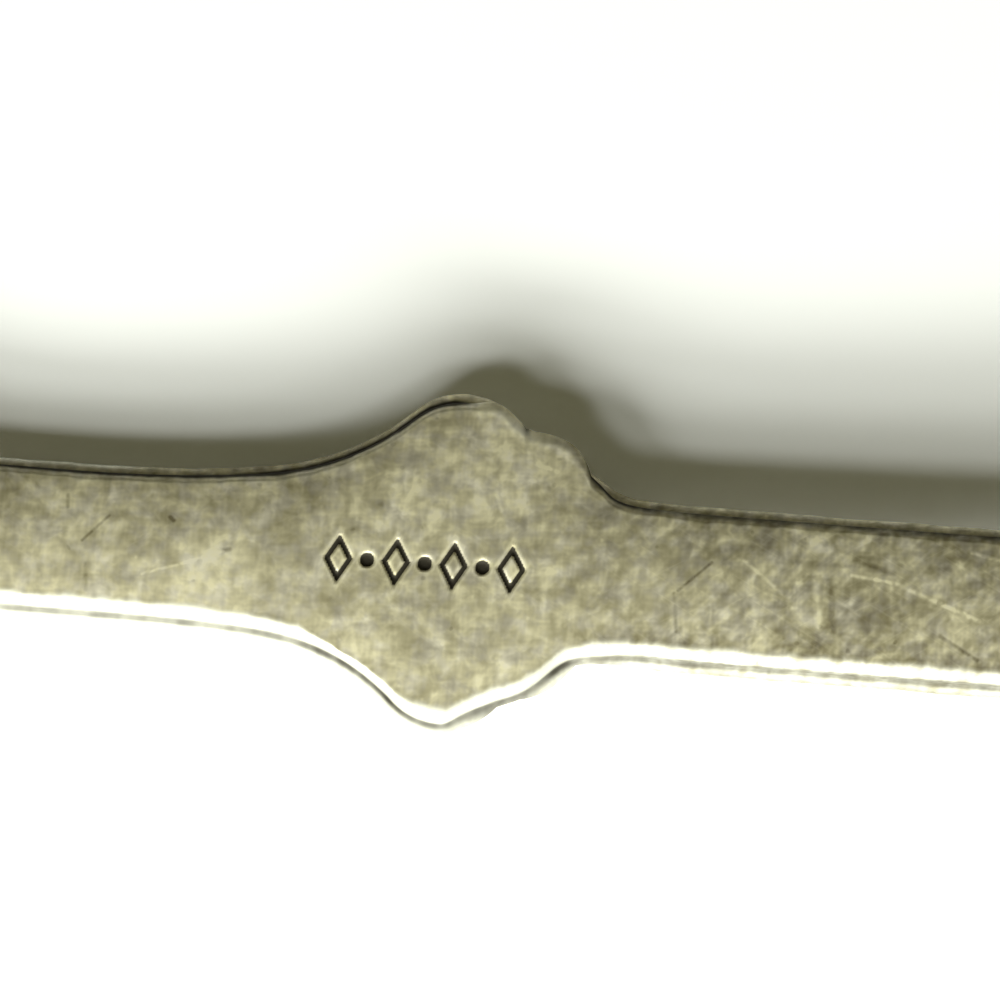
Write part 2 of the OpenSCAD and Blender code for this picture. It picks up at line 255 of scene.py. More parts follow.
def back_half(u, side):
    """Half-width of the back on the far side (1) or the near side (-1)."""
    x = u - ORN_U
    if side > 0:
        return outline(u) - guide(FAR_LEDGE, x)
    past = (x > LOBE_X) & (x < FLARE_END)
    return np.where(past, guide(NEAR_PAST_LOBES, x), outline(u) - LEDGE_NEAR)


# How far the section's middle stands off the axis, as (u, shift, slope)
SHIFT_CURVE = [
    (ORN_U - FLARE_START, 0.04, 0),
    (ORN_U - FLARE_TURN, 0.15, 0.025),
    (ORN_U + MEET_X, ORN_SHIFT, 0),
    (ORN_U + SMALL_X + 0.4, ORN_SHIFT + 0.01, 0.02),
    (ORN_U + EXIT_X - 0.3, ORN_SHIFT + 0.1, 0),
    (ORN_U + EXIT_X + 0.9, 0.2, -0.12),
    (ORN_U + FLARE_END + 1.6, 0.05, 0),
]

# How far the back stands above the ledge, as (u, rise, slope), and its least share at the end
BACK_CURVE = [(NECK_START, HEEL_H, -0.06), (NECK_U, NECK_H, 0), (NECK_U + NECK_TAPER, BODY_H, 0)]
LEAST_RISE = 0.2


def back_rise(u):
    """How far the back stands above the ledge, rounded off at the handle's end."""
    t = np.clip((u - TOTAL + BACK_ROUND) / BACK_ROUND, 0, 1)
    return guide(BACK_CURVE, u) * np.maximum(LEAST_RISE, root(1 - t * t))


def handle_share(u):
    """How far the bowl's section has become the handle's, from 0 to 1."""
    return ease((u - NECK_START + NECK_BEFORE) / (NECK_U - NECK_START + NECK_BEFORE))


def dome(s):
    """The bowl's depth at a share of its half-width or half-length."""
    return np.maximum(0, 1 - np.minimum(1, np.abs(s)) ** BOWL_POWER)


# The relief on the front: a boss and its leaves, as (tip x, tip y, radius at the tip)
CALYX_OUT = 1.4
LARGE_TIP = (BOSS_X + LOBE_X, LOBE_Y + LOBE_R - BORDER_W - LARGE_LEAF_R)
SMALL_TIP = (BOSS_X + SMALL_X, SMALL_Y + SMALL_R - BORDER_W - SMALL_LEAF_R)
CALYX_TIP = (-BOSS_R, BOSS_R * CALYX_OUT)
VEIN_DEPTH, VEIN_WIDE, VEIN_FROM, VEIN_TO = 0.22, 0.12, 4, 6
LEAVES = [(STEM_LEAF_LEN, 0, STEM_LEAF_R), (-SHANK_LEAF_LEN, 0, ROOT_R)]
for side in (-1, 1):
    LEAVES += [
        (LARGE_TIP[0], side * LARGE_TIP[1], LARGE_LEAF_R),
        (SMALL_TIP[0], side * SMALL_TIP[1], SMALL_LEAF_R),
        (CALYX_TIP[0], side * CALYX_TIP[1], ROOT_R),
    ]


def round_rise(d, r):
    return root(1 - (d / r) ** 2)


def relief(x, y):
    """How far the front has risen to the leaves' crowns, from 0 to 1."""
    px = x + BOSS_X
    rise = round_rise(np.hypot(px, y), BOSS_R)
    for tx, ty, r in LEAVES:
        t = np.clip((px * tx + y * ty) / (tx * tx + ty * ty), 0, 1)
        d = np.hypot(px - t * tx, y - t * ty)
        vein = VEIN_DEPTH * bump(d, 0, VEIN_WIDE) * ease(VEIN_FROM * t) * ease(VEIN_TO * (1 - t))
        rise = np.maximum(rise, round_rise(d, mix(ROOT_R, r, t)) * (1 - vein))
    return rise


# The row of punched marks: lozenges, with a dot between each two
MARK_TURN = math.radians(0.5)
MARK_PITCH, MARK_HIGH, MARK_WIDE, MARK_LINE, MARK_DEPTH = 0.9, 0.62, 0.36, 0.085, 0.12
MARK_COUNT, DOT_R = 7, 0.15
LOZENGE_FLANK = math.hypot(1 / MARK_WIDE, 1 / MARK_HIGH)
FAR_OFF = 9.0
MARK_U, MARK_Y = photo_to_plan(425.0, 563.0)


def mark_distance(u, y):
    """Distance to the nearest line of the punched row."""
    c, s = math.cos(MARK_TURN), math.sin(MARK_TURN)
    du, dy = u - MARK_U, y - MARK_Y
    a, b = c * du + s * dy, c * dy - s * du
    best = np.full(np.shape(a), FAR_OFF)
    for i in range(MARK_COUNT):
        p = a - (i - (MARK_COUNT - 1) / 2) * MARK_PITCH
        if i % 2 == 0:
            d = np.abs(np.abs(p) / MARK_WIDE + np.abs(b) / MARK_HIGH - 1) / LOZENGE_FLANK
        else:
            d = np.maximum(np.hypot(p, b) - DOT_R, 0)
        best = np.minimum(best, d)
    return best


# The groove's floor and flank and the burr's place and width, as shares of the line's width
GROOVE_FLOOR, GROOVE_FLANK, BURR_AT, BURR_WIDE = 0.35, 0.9, 1.9, 0.6


def mark_cut(u, y):
    """How deep the punched row is cut, and how much of a burr stands beside it, from 0 to 1."""
    d = mark_distance(u, y) / MARK_LINE
    return 1 - ease((d - GROOVE_FLOOR) / GROOVE_FLANK), bump(d, BURR_AT, BURR_WIDE)


# What the fine mesh adds to the solid: a crowned back, rolled ledges and worn edges
CROWN = 0.085
LEDGE_SLOPE, LEDGE_FALL, ROLL_H = 0.35, 0.12, 0.2
LOBE_WIDER, LOBE_LOWER, LOBE_SHADE = 0.2, 0.13, 0.3
NECK_BEVEL_W, NECK_BEVEL_H = 0.3, 0.35
NEAR_BEVEL_MORE, NEAR_LEAST, LEDGE_LEAST = 0.12, 0.09, 0.04
# The third value darkens a band along the bowl's rim with painted shade, so that the rim stands out
BOWL_WEAR, RIM_WEAR, RIM_SHADE, RIM_REACH = 0.02, 0.003, 0.6, 0.5

# Uneven wear of each kind, as (amount, seed, longest wave in mm)
EDGE_WEAR, BEVEL_WEAR, NICK_WEAR = (0.02, 11, 5.1), (0.14, 21, 3.3), (0.056, 25, 0.9)
FAR_PATCHES, NEAR_PATCHES, RIM_PATCHES = (0.18, 31, 2.3), (0.1, 31, 2.3), (0.25, 41, 6.1)

# Where the spoon is narrow or thin, each part of a section keeps to this share of it
LEAST_BACK, MOST_BEVEL_W, MOST_BEVEL_H, MOST_FINE = 0.5, 0.4, 0.6, 0.5
MOST_EDGE, LEAST_LAND, LEAST_FIELD, LEAST_HOLLOW = 0.15, 0.5, 0.4, 0.4

# Points of half a section, counted from the middle of the back round to the middle of the front
FINE_HALF, FINE_STEPS = 0.96, 16
FLAT_STEPS, WALL_STEPS, LEDGE_STEPS, EDGE_STEPS = 20, 2, 9, 4
LAND_STEPS, SLOPE_STEPS, FIELD_STEPS = 3, 2, 30
BEVEL_ACROSS = np.array([0, 0.14, 0.3, 0.46, 0.62, 0.76, 0.88, 0.96, 1])
BEVEL_DOWN = np.array([0, 0.015, 0.07, 0.2, 0.39, 0.58, 0.77, 0.91, 1])
BEVEL_POINTS = len(BEVEL_ACROSS)

# Painted shade, with some grime, along half a section, at the points of the bevel and of the wall: on
# the shank and the ornament's far side, on the stem's far side, and on the near side
SHADE_AND_GRIME_FAR = np.array([0, 0, 0.03, 0.1, 0.28, 0.55, 0.82, 1, 1] + [1] * WALL_STEPS)
SHADE_AND_GRIME_STEM = np.array([0, 0.02, 0.1, 0.25, 0.36, 0.44, 0.5, 0.52, 0.5] + [0.5] * WALL_STEPS)
SHADE_AND_GRIME_NEAR = np.array([0, 0, 0, 0, 0.1, 0.25, 0.45, 0.65, 0.85] + [1] * WALL_STEPS)
FIELD_GRIME, RELIEF_GRIME = 0.3, 0.55

# How bare the near edge, the front's border and its slope are rubbed, and how soon the bevel is
NEAR_WORN, BORDER_WORN, SLOPE_WORN, BEVEL_RUB = 0.5, 0.5, 0.3, 3

# Stretches along the spoon, in mm from the ornament's middle: start, fade, end, fade
TRIMMED, NEAR_TRIM = (LOBE_X, 0.8, EXIT_X - 0.4, 1.0), 0.2
# The second stretch is where most of the far edge's painted shade and grime go, at the lobes
FAR_FADE_STRETCH, FAR_FADE_SHARE = (0.1, 0.8, EXIT_X - 0.2, 0.5), 0.85

# Levels along the spoon with bumps on them, as (height, middle, width)
CUSP_FILL = (0, [(0.1, CUSP_X, 0.2), (0.1, EXIT_X + 0.35, 0.4)])
NEAR_BEVEL = (1, [(-0.45, -2.6, 1.5), (0.3, 0.3, 0.8)])
# The reaches and the near level set the painted shade and grime of the edges; the spots add painted
# shade and grime at the cusps by the small lobe
FAR_REACH = (0.09, [(0.1, -4.0, 3.0), (0.05, -0.8, 1.2)])
NEAR_REACH = (0.2, [(0.3, 2.2, 1.5)])
NEAR_SHADE_AND_GRIME = (0.51, [(0.15, -2.0, 2.4), (0.04, 2.8, 1.0), (0.09, 2.0, 0.35), (0.17, 4.0, 0.4)])
CUSP_SPOT, EXIT_SPOT = (0, [(0.6, CUSP_X, 0.16)]), (0, [(1, EXIT_X + 0.1, 0.3)])

# Slow changes along the spoon, as (before, after, start, length)
# The near edge's painted shade and grime thin a little past the stem
STEM_SHARE, STEM_FADE = (0, 1, EXIT_X + 0.6, 1.5), (0, -0.04, 6, 5)
SHANK_POLISH, STEM_POLISH = (0.85, -0.4, -11, 4), (0, 0.7, 5, 3)
# The far bevel is rubbed brighter on the shank and darker by the stem, where the darkening is painted
# shade
BEVEL_POLISH_AND_SHADE = (0.15, -0.2, 2.5, 3)


def bumps(x, level, parts):
    return level + sum(height * bump(x, middle, width) for height, middle, width in parts)


def change(x, before, after, start, length):
    return mix(before, after, ease((x - start) / length))


def stretch(x, start, fade_in, end, fade_out):
    """1 between two places, fading in past the first and out past the second."""
    return ease((x - start) / fade_in) * (1 - ease((x - end) / fade_out))


def wear(u, side, kind):
    """Uneven wear of one kind along one side."""
    amount, seed, longest = kind
    return amount * wobble(u, seed + side, longest)


def steps(count):
    """Even steps from 0 to 1, without the 0."""
    return np.linspace(0, 1, count + 1)[1:]


def quarter(count):
    """Angles of even steps from 0 to a right angle, without the 0."""
    return np.radians(np.linspace(0, 90, count + 1))[1:]


def edge_half(u, side):
    """Half-width of the worn outline, and how much of it fills the recesses by the small lobe."""
    x = u - ORN_U
    share = handle_share(u)
    w = outline(u) + wear(u, side, EDGE_WEAR) * share - RIM_WEAR * (1 - share)
    if side > 0:
        fill = bumps(x, *CUSP_FILL)
        return w + fill, fill
    w = w - NEAR_TRIM * stretch(x, *TRIMMED)
    return np.where(x < FLARE_START, np.maximum(w, back_half(u, side) + NEAR_LEAST), w), 0


def lobe_share(u, side):
    """1 at the far lobes, where the ledge nearly goes, and 0 elsewhere."""
    ledge = outline(u) - back_half(u, side)
    return np.clip((LEDGE_FAR - ledge) / (LEDGE_FAR - LEDGE_LOBES), 0, 1) if side > 0 else 0 * ledge


def back_part(u, side, b, z):
    """The crowned back, its bevel and its wall: y and z."""
    rise = back_rise(u)
    more = np.maximum(rise - BODY_H, 0)
    soft = lobe_share(u, side)
    near_w = (BEVEL_W + NEAR_BEVEL_MORE) * bumps(u - ORN_U, *NEAR_BEVEL)
    bevel_w = BEVEL_W + LOBE_WIDER * soft if side > 0 else near_w
    uneven = 1 + wear(u, side, BEVEL_WEAR) + wear(u, side, NICK_WEAR)
    bevel_w = np.minimum((bevel_w + NECK_BEVEL_W * more) * uneven, b * MOST_BEVEL_W)
    bevel_h = np.minimum(BEVEL_H - LOBE_LOWER * soft + NECK_BEVEL_H * more, rise * MOST_BEVEL_H)
    flat_end = b - bevel_w
    fine_end = np.minimum(FINE_HALF, flat_end * MOST_FINE)
    fine = fine_end * np.linspace(0, 1, FINE_STEPS, endpoint=False)
    wide = mix(fine_end, flat_end, np.linspace(0, 1, FLAT_STEPS, endpoint=False))
    flat = np.concatenate([fine, wide], axis=1)
    top = z + FLANGE_T + rise
    bevel_top = top - CROWN * flat_end**2 / b
    wall_z = mix(bevel_top - bevel_h, z + FLANGE_T, steps(WALL_STEPS))
    ys = [flat, flat_end + bevel_w * BEVEL_ACROSS, b + 0 * wall_z]
    zs = [top - CROWN * flat**2 / b, bevel_top - bevel_h * BEVEL_DOWN, wall_z]
    return np.concatenate(ys, axis=1), np.concatenate(zs, axis=1)


def lower_edge(w, z):
    """The rounded edge between the side and the front: its radius, y and z."""
    r = np.minimum(EDGE_R, w * MOST_EDGE)
    turn = np.radians(np.linspace(0, 90, EDGE_STEPS))
    return r, w - r + r * np.cos(turn), z + r - r * np.sin(turn)


def edge_shade_and_grime(u, side, out):
    """Painted shade and grime of the bevel, the wall and the ledge, whose width is given."""
    x = u - ORN_U
    if side > 0:
        along = mix(SHADE_AND_GRIME_FAR, SHADE_AND_GRIME_STEM, change(x, *STEM_SHARE))
        spots = np.maximum(bumps(x, *CUSP_SPOT), bumps(x, *EXIT_SPOT))
        amount = np.maximum(1 - FAR_FADE_SHARE * stretch(x, *FAR_FADE_STRETCH), spots)
        reach, patches = bumps(x, *FAR_REACH), FAR_PATCHES
    else:
        along = SHADE_AND_GRIME_NEAR + 0 * x
        amount = bumps(x, *NEAR_SHADE_AND_GRIME) + change(x, *STEM_FADE)
        reach, patches = bumps(x, *NEAR_REACH), NEAR_PATCHES
    on_ledge = along[:, -1:] * bump(out * np.sin(quarter(LEDGE_STEPS)), 0, reach)
    grime_and_shade = np.concatenate([along, on_ledge], axis=1) * amount * (1 + wear(u, side, patches))
    grime_and_shade[:, :BEVEL_POINTS] += LOBE_SHADE * lobe_share(u, side) * np.sin(np.pi * BEVEL_ACROSS) ** 2
    return grime_and_shade


def edge_polish_and_shade(u, side):
    """How bare the bevel, the wall and the ledge are rubbed; on the far bevel by the stem, its values
    below 0 are painted shade.
    """
    x = u - ORN_U
    bevel, wall, ledge = ease(BEVEL_RUB * BEVEL_ACROSS), np.ones(WALL_STEPS), np.ones(LEDGE_STEPS)
    if side < 0:
        return NEAR_WORN * np.concatenate([bevel, wall, ledge]) + 0 * x
    outwards = np.sin(quarter(LEDGE_STEPS)) ** 2
    rim = change(x, *SHANK_POLISH) + change(x, *STEM_POLISH)
    return np.concatenate([bevel * change(x, *BEVEL_POLISH_AND_SHADE), 0 * wall + 0 * x, outwards * rim], axis=1)


def handle_section(u, side, w, fill, z):
    """Half sections of the handle: y, z, grime with painted shade, and polish with painted shade."""
    b = np.clip(back_half(u, side) + fill, w * LEAST_BACK, w - LEDGE_LEAST)
    back_y, back_z = back_part(u, side, b, z)
    out = w - b
    q = np.sin(quarter(LEDGE_STEPS))
    slope = np.minimum(LEDGE_SLOPE * out, LEDGE_FALL)
    ledge_z = z + FLANGE_T - slope * q - ROLL_H * (1 - root(1 - q * q))
    r, under_y, under_z = lower_edge(w, z)
    land = np.maximum(w - BORDER_W, w * LEAST_LAND)
    field = np.maximum(land - FIELD_SLOPE, w * LEAST_FIELD)
    land_y = mix(w - r, land, steps(LAND_STEPS))
    slope_y, slope_z = mix(land, field, steps(SLOPE_STEPS)), z + FIELD_DEPTH * ease(steps(SLOPE_STEPS))
    field_y = field * (1 - steps(FIELD_STEPS))
    high = relief(u - ORN_U, field_y)
    field_z = mix(z + FIELD_DEPTH, np.maximum(0, z - RELIEF_H), high)

    flat = 0 * back_y[:, : FINE_STEPS + FLAT_STEPS]
    hidden = RELIEF_GRIME * (1 - high) ** 2
    border_worn = BORDER_WORN + 0 * np.concatenate([under_y, land_y], axis=1)
    sections = (
        [back_y, b + out * q, under_y, land_y, slope_y, field_y],
        [back_z, ledge_z, under_z, z + 0 * land_y, slope_z, field_z],
        [flat, edge_shade_and_grime(u, side, out), 0 * border_worn, FIELD_GRIME + 0 * slope_y, hidden],
        [flat, edge_polish_and_shade(u, side), border_worn, SLOPE_WORN + 0 * slope_y, high**2],
    )
    return [np.concatenate(parts, axis=1) for parts in sections]


def bowl_section(u, side, w, z):
    """Half sections of the bowl, with as many points as the handle's: y, z and painted shade along the
    rim.
    """
    back_n = FINE_STEPS + FLAT_STEPS + BEVEL_POINTS - 1 + WALL_STEPS
    hollow_n = SLOPE_STEPS + FIELD_STEPS
    s = np.sin(np.radians(90 * np.arange(back_n + 1) / back_n))
    p = np.cos(quarter(hollow_n))
    e = quarter(LEDGE_STEPS)
    rise = BOWL_DEPTH + BOWL_WALL - RIM_T - BOWL_WEAR
    over = rise * dome((u - BOWL_WIDEST) / bowl_side(u))
    under = BOWL_DEPTH * dome((u - BOWL_WIDEST) / (bowl_side(u) - RIM_LAND))
    r, under_y, under_z = lower_edge(w, z)
    inner = np.maximum(w - RIM_LAND, w * LEAST_HOLLOW)
    land_y = mix(w - r, inner, steps(LAND_STEPS))
    ys = [(w - r) * s, w - r + r * np.sin(e), under_y, land_y, inner * p]
    zs = [
        z + RIM_T + over * dome(s),
        z + RIM_T - r + r * np.cos(e),
        under_z,
        z + 0 * land_y,
        z + under * dome(p),
    ]
    y = np.concatenate(ys, axis=1)
    # Painted shade in a band along the rim
    grime_and_shade = RIM_SHADE * bump(y, w, RIM_REACH) * (1 + wear(u, side, RIM_PATCHES))
    return y, np.concatenate(zs, axis=1), grime_and_shade


def half_section(u, side):
    """All the half sections of one side, bowl to handle: y, z, grime with painted shade, and polish with
    painted shade.
    """
    u = u[:, None]
    share = handle_share(u)
    z = guide(LIE_CURVE, u)
    w, fill = edge_half(u, side)
    handle = handle_section(u, side, w, fill, z)
    bowl = [*bowl_section(u, side, w, z), 0]
    return [mix(a, b, share) for a, b in zip(bowl, handle)]


VIEW_FROM, VIEW_TO = ORN_U - 15.0, ORN_U + 19.0
MARK_FROM, MARK_TO = MARK_U - 3.2, MARK_U + 3.2
MARK_REACH = 4.0
TIP_ROWS, END_ROWS = 34, 26

# Stretches of the spoon between its rounded ends, as (from, to, number of sections)
STRETCHES = [
    (BOWL_WIDEST, NECK_START, 22),
    (NECK_START, NECK_U, 24),
    (NECK_U, VIEW_FROM, 30),
    (VIEW_FROM, MARK_FROM, 82),
    (MARK_FROM, MARK_TO, 110),
    (MARK_TO, ORN_U + FLARE_END, 52),
    (ORN_U + FLARE_END, VIEW_TO, 84),
    (VIEW_TO, END_U, 24),
]


def rows():
    """Places of the sections along the spoon: dense in the stretch that the photograph shows."""
    turn = np.radians(np.linspace(TIP_ANGLE, 90, TIP_ROWS, endpoint=False))
    tip = BOWL_WIDEST - TIP_REACH * np.cos(turn)
    body = np.concatenate([np.linspace(a, b, n, endpoint=False) for a, b, n in STRETCHES])
    for cusp in (ORN_U + CUSP_X, ORN_U + EXIT_X):
        body[np.argmin(np.abs(body - cusp))] = cusp
    turn = np.radians(np.linspace(0, 90 - TIP_ANGLE, END_ROWS))
    return np.concatenate([tip, body, END_U + END_REACH * np.sin(turn)])


def ring_faces(s, m):
    """Faces of s closed sections of m points each, with a fan to an end point at either end."""
    i, j = np.meshgrid(np.arange(s - 1), np.arange(m), indexing="ij")
    k = (j + 1) % m
    quads = np.stack([i * m + j, (i + 1) * m + j, (i + 1) * m + k, i * m + k], axis=2)
    faces = quads.reshape(-1, 4).tolist()
    for j in range(m):
        k = (j + 1) % m
        faces.append([j, k, s * m])
        faces.append([(s - 1) * m + k, (s - 1) * m + j, s * m + 1])
    return faces


def make_spoon():
    u = rows()
    far, near = half_section(u, 1), half_section(u, -1)
    shift = guide(SHIFT_CURVE, u)[:, None]
    n = far[0].shape[1]
    far[0], near[0] = shift + far[0], shift - near[0]
    rings = [np.concatenate([a, b[:, n - 2 : 0 : -1]], axis=1) for a, b in zip(far, near)]
    y, z, grime_and_shade, worn = rings
    x = np.repeat(u[:, None], y.shape[1], axis=1)
    column = np.arange(y.shape[1])
    flat_n = FINE_STEPS + FLAT_STEPS
    on_back = (column < flat_n) | (column > y.shape[1] - flat_n)
    groove, burr = mark_cut(x, y)
    near_mark = on_back & (np.abs(x - MARK_U) < MARK_REACH)
    groove, burr = np.where(near_mark, groove, 0), np.where(near_mark, burr, 0)
    z = z - MARK_DEPTH * groove

    points = np.stack([x - TOTAL / 2, y, z], axis=2).reshape(-1, 3)
    tip = [-TOTAL / 2, 0, float(guide(LIE_CURVE, 0)) + RIM_T / 2]
    end = [TOTAL / 2, 0, float(guide(LIE_CURVE, TOTAL)) + FLANGE_T / 2]
    points = np.concatenate([points, [tip, end]]) * MM
    mesh = bpy.data.meshes.new("spoon_skin")
    mesh.from_pydata(points.tolist(), [], ring_faces(*y.shape))
    mesh.validate()
    mesh.update()
    # The grime layer holds painted shade along the edges and the bowl's rim as well as grime
    for name, values in (("recess", groove), ("burr", burr), ("grime_and_shade", grime_and_shade), ("worn", worn)):
        layer = mesh.attributes.new(name, "FLOAT", "POINT")
        layer.data.foreach_set("value", np.append(values.ravel(), [0, 0]).astype(np.float32))
    mesh.polygons.foreach_set("use_smooth", [True] * len(mesh.polygons))
    piece = bpy.data.objects.new("spoon_skin", mesh)
    bpy.context.scene.collection.objects.link(piece)
    return piece


class Graph:
    """Short calls for building a material: every call returns an output socket."""

    def __init__(self, name):
        self.material = bpy.data.materials.new(name)
        self.material.use_nodes = True
        self.tree = self.material.node_tree
        self.tree.nodes.clear()

    def node(self, kind, values=(), out=0, **settings):
        n = self.tree.nodes.new(kind)
        for key, value in settings.items():
            setattr(n, key, value)
        for key, value in dict(values).items():
            if isinstance(value, bpy.types.NodeSocket):
                self.tree.links.new(value, n.inputs[key])
            else:
                n.inputs[key].default_value = value
        return n.outputs[out]

    def finish(self, shader):
        out = self.tree.nodes.new("ShaderNodeOutputMaterial")
        self.tree.links.new(shader, out.inputs[0])

    def math(self, kind, a, b=0.0, c=0.0, clamp=False):
        return self.node("ShaderNodeMath", {0: a, 1: b, 2: c}, operation=kind, use_clamp=clamp)

    def vector(self, kind, a, b, out=0):
        return self.node("ShaderNodeVectorMath", {0: a, 1: b}, out, operation=kind)

    def ramp(self, value, low, high, to_low=0.0, to_high=1.0):
        """A smooth change from one level to another between two values."""
        spans = {"Value": value, "From Min": low, "From Max": high, "To Min": to_low, "To Max": to_high}
        return self.node("ShaderNodeMapRange", spans, interpolation_type="SMOOTHSTEP")

    def noise(self, vector, scale, detail=2.0, rough=0.6):
        inputs = {"Vector": vector, "Scale": scale, "Detail": detail, "Roughness": rough}
        return self.node("ShaderNodeTexNoise", inputs, 0)

    def streaks(self, vector, turn, along, across, place):
        """Noise drawn out in a direction, at scales along and across it."""
        turned = self.node(
            "ShaderNodeVectorRotate",
            {"Vector": vector, "Angle": math.radians(-turn)},
            rotation_type="Z_AXIS",
        )
        scaled = self.vector("MULTIPLY", turned, (along, across, across))
        return self.noise(self.vector("ADD", scaled, (place, place, place)), 1.0, 1.0, 0.5)

    def add_up(self, total, terms):
        """The total with each term times its factor added."""
        for value, factor in terms:
            total = self.math("MULTIPLY_ADD", value, factor, total)
        return total

    def swing(self, layers):
        """The sum of noise layers, each about zero and times its strength."""
        return self.add_up(0.0, [(self.math("SUBTRACT", layer, 0.5), size) for layer, size in layers])

    def attribute(self, name):
        return self.node("ShaderNodeAttribute", {}, 2, attribute_name=name)

    def blend(self, share, a, b):
        inputs = {0: share, 6: a, 7: b}
        return self.node("ShaderNodeMix", inputs, 2, data_type="RGBA", clamp_factor=True)


# Scratches and pits seen on the back, as (from, to, half-width in mm, strength)
# Both ends are pixels of the photograph
BRIGHT_SCRATCHES = [
    ((850, 575), (893, 583), 0.05, 0.75),
    ((893, 583), (930, 600), 0.06, 0.8),
    ((930, 600), (975, 620), 0.06, 0.8),
    ((970, 552), (998, 560), 0.05, 0.7),
    ((743, 560), (780, 593), 0.05, 0.5),
    ((814, 573), (816, 627), 0.09, 0.5),
    ((143, 573), (183, 563), 0.04, 0.45),
    ((183, 563), (224, 551), 0.04, 0.5),
    ((537, 463), (557, 470), 0.05, 0.6),
    ((497, 495), (502, 511), 0.05, 0.45),
]
DARK_SCRATCHES = [
    ((711, 562), (677, 590), 0.04, 0.7),
    ((673, 593), (675, 630), 0.05, 0.6),
    ((937, 635), (973, 658), 0.05, 0.7),
    ((853, 560), (892, 573), 0.07, 0.5),
    ((828, 580), (830, 632), 0.08, 0.45),
    ((110, 515), (83, 540), 0.04, 0.7),
    ((68, 494), (68, 506), 0.05, 0.8),
    ((171, 517), (174, 520), 0.06, 0.8),
    ((225, 550), (230, 549), 0.06, 0.9),
    ((87, 563), (87, 588), 0.06, 0.5),
]
LINE_SOFT = 2.1

# Cleaner parts of the back, as (middle from the ornament's, radius in mm, share of the film)
CLEANER_PARTS = [((-6.0, -1.0), 2.4, 0.12), ((6.9, 0.0), 2.0, 0.25), ((0.3, 2.2), 1.6, 0.08)]
CLEANER_SOFT = 1.6

# Parts of the back, as (from, to) in mm: where each begins and where it is full
RIGHT_PART, LEFT_PART, ORN_PART, LOW_PART = (2.5, 8.0), (-3.0, -7.0), (5.0, 2.0), (-0.8, -2.2)

# Noise of the film, as (scale per mm, detail, roughness), and how far it is warped
FINE, MIDDLE, LARGE, WARP = (3.6, 1.0, 0.6), (1.5, 1.0, 0.5), (0.3, 1.0, 0.5), (1.1, 1.0)
TINT, WARP_SIZE = (1.6, 2.0, 0.6), 0.5

# Streaks, as (turn from the spoon's axis in degrees, scale along, scale across, place)
CROSS, BRUSH, SLANT = (0, 4.6, 1.1, 0.0), (4, 0.9, 4.4, 0.0), (48, 0.9, 4.0, 3.0)
HAIRS_A, HAIRS_B = (-28, 0.35, 8.0, 7.0), (32, 0.45, 8.0, 19.0)

# Colours of the film, of bare and of rubbed silver, and of the grime and painted shade
FILMS = ((0.24, 0.206, 0.108, 1), (0.236, 0.207, 0.145, 1))
SILVERS = ((1.0, 0.925, 0.645, 1), (1.0, 0.935, 0.755, 1))
RUBBED, RUBBED_SOON = (0.97, 0.96, 0.86, 1), 1.6
GRIME_AND_SHADE_COLOUR = (0.035, 0.029, 0.018, 1)

BUMP_STRENGTH, BUMP_HEIGHT = 0.4, 0.000006


def lines(g, flat, segments):
    """The strongest of several worn lines, each fading from its middle to its half-width."""
    total = 0.0
    for start, end, half, strength in segments:
        (au, ay), (bu, by) = photo_to_plan(*start), photo_to_plan(*end)
        a, ab = (au - TOTAL / 2, ay, 0), (bu - au, by - ay, 0)
        square = math.hypot(*ab) ** 2
        from_a = g.vector("SUBTRACT", flat, a)
        t = g.math("DIVIDE", g.vector("DOT_PRODUCT", from_a, ab, out=1), square, clamp=True)
        on_line = g.node("ShaderNodeVectorMath", {0: ab, 3: t}, operation="SCALE")
        off_line = g.vector("DISTANCE", from_a, on_line, out=1)
        total = g.math("MAXIMUM", total, g.ramp(off_line, half * LINE_SOFT, 0.0, 0.0, strength))
    return total


